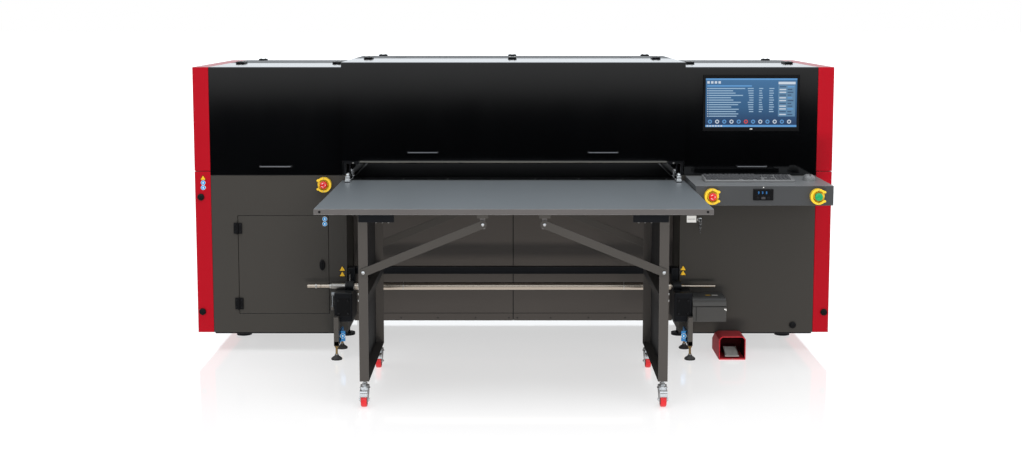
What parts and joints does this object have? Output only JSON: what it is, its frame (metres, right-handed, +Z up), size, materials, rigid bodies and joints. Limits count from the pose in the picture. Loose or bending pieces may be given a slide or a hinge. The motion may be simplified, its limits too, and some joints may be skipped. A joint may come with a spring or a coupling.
{
  "type": "flatbed uv printer",
  "caption": "Wide flatbed ultraviolet printer: two side cabinets joined by a print bay, hinged gloss hoods, wheeled feed table, roll shaft, console and foot pedal.",
  "frame": {"origin": "floor level, middle of the machine's width, middle of its depth: the front plane of the side cabinets is Y = 0", "axes": "+X to the operator's right, +Y to the back of the machine, +Z up"},
  "size_m": [3.47, 2.247, 1.594],
  "materials": {
    "sheet_paint": "fine satin powder coat, warm dark grey",
    "gloss_black": "high-gloss black",
    "red_paint": "semi-gloss red",
    "black_paint": "satin black",
    "black_plastic": "fine grained",
    "aluminium": "brushed",
    "polished_steel": "ground and polished",
    "chrome_plate": "bright zinc chrome",
    "button_red": "gloss",
    "button_green": "gloss",
    "belt_rubber": "matt",
    "wheel_red": "polyurethane tread"
  },
  "bodies": {
    "root": {"base_frame": "black_paint", "left_cabinet_shell": "sheet_paint", "right_cabinet_shell": "sheet_paint", "left_side_panel_lower": "red_paint", "left_side_panel_upper": "red_paint", "right_side_panel_lower": "red_paint", "right_side_panel_upper": "red_paint", "left_rear_cover": "black_paint", "centre_rear_cover": "black_paint", "right_rear_cover": "black_paint", "centre_panel_left": "sheet_paint", "centre_panel_right": "sheet_paint", "rear_lower_panel": "sheet_paint", "gantry_beam": "aluminium", "capping_station": "aluminium", "ink_tank_rack": "black_plastic", "transport_belt": "belt_rubber", "bed_entry_plate": "sheet_paint", "guide_bracket_left": "black_paint", "guide_bracket_right": "black_paint", "console_shelf": "sheet_paint", "keyboard": "black_plastic", "dock_clamp_left": "black_paint", "dock_clamp_right": "black_paint", "roll_support_left": "black_paint", "roll_support_right": "black_paint", "roll_tie_bar": "black_paint", "roll_motor_box": "sheet_paint", "pedal_hood": "red_paint"},
    "left_hood": {"left_hood": "gloss_black"},
    "centre_hood": {"centre_hood": "gloss_black"},
    "right_hood": {"right_hood": "gloss_black", "monitor": "black_plastic"},
    "left_door": {"left_door": "sheet_paint"},
    "door_latch": {"door_latch": "black_plastic"},
    "print_carriage": {"print_carriage": "black_plastic"},
    "drive_roller": {"drive_roller": "polished_steel"},
    "idler_roller": {"idler_roller": "polished_steel"},
    "guide_roller": {"guide_roller": "polished_steel"},
    "console_stop_button": {"console_stop_button": "button_red"},
    "start_button": {"start_button": "button_green"},
    "left_stop_button": {"left_stop_button": "button_red"},
    "dock_lever_left": {"dock_lever_left": "aluminium"},
    "dock_lever_right": {"dock_lever_right": "aluminium"},
    "table": {"table_top": "sheet_paint", "table_leg_left": "sheet_paint", "table_leg_right": "sheet_paint", "table_brace_left": "sheet_paint", "table_brace_right": "sheet_paint"},
    "roll_shaft": {"roll_shaft": "polished_steel"},
    "chuck_lever": {"chuck_lever": "aluminium"},
    "pedal_treadle": {"pedal_treadle": "aluminium"},
    "front_caster_fork_left": {"front_caster_fork_left": "chrome_plate"},
    "front_caster_wheel_left": {"front_caster_wheel_left": "wheel_red"},
    "front_caster_fork_right": {"front_caster_fork_right": "chrome_plate"},
    "front_caster_wheel_right": {"front_caster_wheel_right": "wheel_red"},
    "rear_caster_fork_left": {"rear_caster_fork_left": "chrome_plate"},
    "rear_caster_wheel_left": {"rear_caster_wheel_left": "wheel_red"},
    "rear_caster_fork_right": {"rear_caster_fork_right": "chrome_plate"},
    "rear_caster_wheel_right": {"rear_caster_wheel_right": "wheel_red"}
  },
  "joints": [
    {"name": "left_hood_hinge", "type": "hinge", "parent": "root", "child": "left_hood", "pos_m": [-1.289, 0.6, 1.572], "axis": [-1, 0, 0], "range_deg": [0, 70]},
    {"name": "centre_hood_hinge", "type": "hinge", "parent": "root", "child": "centre_hood", "pos_m": [0, 0.6, 1.599], "axis": [-1, 0, 0], "range_deg": [0, 70]},
    {"name": "right_hood_hinge", "type": "hinge", "parent": "root", "child": "right_hood", "pos_m": [1.289, 0.6, 1.572], "axis": [-1, 0, 0], "range_deg": [0, 70]},
    {"name": "left_door_hinge", "type": "hinge", "parent": "root", "child": "left_door", "pos_m": [-1.507, -0.008, 0.4845], "axis": [0, 0, -1], "range_deg": [0, 5]},
    {"name": "door_latch_turn", "type": "hinge", "parent": "left_door", "child": "door_latch", "pos_m": [-1.046, -0.0004, 0.484], "axis": [0, -1, 0], "range_deg": [0, 90]},
    {"name": "carriage_slide", "type": "slide", "parent": "root", "child": "print_carriage", "axis": [-1, 0, 0], "range_m": [0, 2.58]},
    {"name": "drive_roller_spin", "type": "hinge", "parent": "root", "child": "drive_roller", "pos_m": [0, 0.222, 0.9096], "axis": [1, 0, 0], "continuous": true},
    {"name": "idler_roller_spin", "type": "hinge", "parent": "root", "child": "idler_roller", "pos_m": [0, 1.05, 0.9096], "axis": [1, 0, 0], "continuous": true},
    {"name": "guide_roller_spin", "type": "hinge", "parent": "root", "child": "guide_roller", "pos_m": [0, 0.01, 1.062], "axis": [1, 0, 0], "continuous": true},
    {"name": "console_stop_button_press", "type": "slide", "parent": "root", "child": "console_stop_button", "axis": [0, 1, 0], "range_m": [0, 0.006], "stiffness_N_per_m": 500},
    {"name": "start_button_press", "type": "slide", "parent": "root", "child": "start_button", "axis": [0, 1, 0], "range_m": [0, 0.006], "stiffness_N_per_m": 500},
    {"name": "left_stop_button_press", "type": "slide", "parent": "root", "child": "left_stop_button", "axis": [0, 1, 0], "range_m": [0, 0.006], "stiffness_N_per_m": 500},
    {"name": "dock_lever_left_turn", "type": "hinge", "parent": "root", "child": "dock_lever_left", "pos_m": [-0.893, 0.03, 0.9744], "axis": [1, 0, 0], "range_deg": [0, 60]},
    {"name": "dock_lever_right_turn", "type": "hinge", "parent": "root", "child": "dock_lever_right", "pos_m": [0.893, 0.03, 0.9744], "axis": [1, 0, 0], "range_deg": [0, 60]},
    {"name": "table_slide", "type": "slide", "parent": "root", "child": "table", "axis": [0, -1, 0], "range_m": [0, 0.6]},
    {"name": "front_caster_swivel_left", "type": "hinge", "parent": "table", "child": "front_caster_fork_left", "pos_m": [-0.7085, -1.054, 0.1], "axis": [0, 0, 1], "continuous": true},
    {"name": "front_caster_wheel_spin_left", "type": "hinge", "parent": "front_caster_fork_left", "child": "front_caster_wheel_left", "pos_m": [-0.7085, -1.092, 0.035], "axis": [1, 0, 0], "continuous": true},
    {"name": "front_caster_swivel_right", "type": "hinge", "parent": "table", "child": "front_caster_fork_right", "pos_m": [0.7085, -1.054, 0.1], "axis": [0, 0, 1], "continuous": true},
    {"name": "front_caster_wheel_spin_right", "type": "hinge", "parent": "front_caster_fork_right", "child": "front_caster_wheel_right", "pos_m": [0.7085, -1.092, 0.035], "axis": [1, 0, 0], "continuous": true},
    {"name": "rear_caster_swivel_left", "type": "hinge", "parent": "table", "child": "rear_caster_fork_left", "pos_m": [-0.7085, -0.313, 0.1], "axis": [0, 0, 1], "continuous": true},
    {"name": "rear_caster_wheel_spin_left", "type": "hinge", "parent": "rear_caster_fork_left", "child": "rear_caster_wheel_left", "pos_m": [-0.7085, -0.351, 0.035], "axis": [1, 0, 0], "continuous": true},
    {"name": "rear_caster_swivel_right", "type": "hinge", "parent": "table", "child": "rear_caster_fork_right", "pos_m": [0.7085, -0.313, 0.1], "axis": [0, 0, 1], "continuous": true},
    {"name": "rear_caster_wheel_spin_right", "type": "hinge", "parent": "rear_caster_fork_right", "child": "rear_caster_wheel_right", "pos_m": [0.7085, -0.351, 0.035], "axis": [1, 0, 0], "continuous": true},
    {"name": "roll_shaft_spin", "type": "hinge", "parent": "root", "child": "roll_shaft", "pos_m": [0, -0.062, 0.379], "axis": [1, 0, 0], "continuous": true},
    {"name": "chuck_lever_turn", "type": "hinge", "parent": "root", "child": "chuck_lever", "pos_m": [-0.9664, -0.12, 0.348], "axis": [1, 0, 0], "range_deg": [0, 90]},
    {"name": "pedal_treadle_press", "type": "hinge", "parent": "root", "child": "pedal_treadle", "pos_m": [1.179, -0.176, 0.02], "axis": [-1, 0, 0], "range_deg": [0, 8], "stiffness_Nm_per_rad": 10, "springref_deg": -2.86}
  ],
  "couplings": [
    {"joint": "idler_roller_spin", "follows": "drive_roller_spin", "ratio": 1}
  ]
}
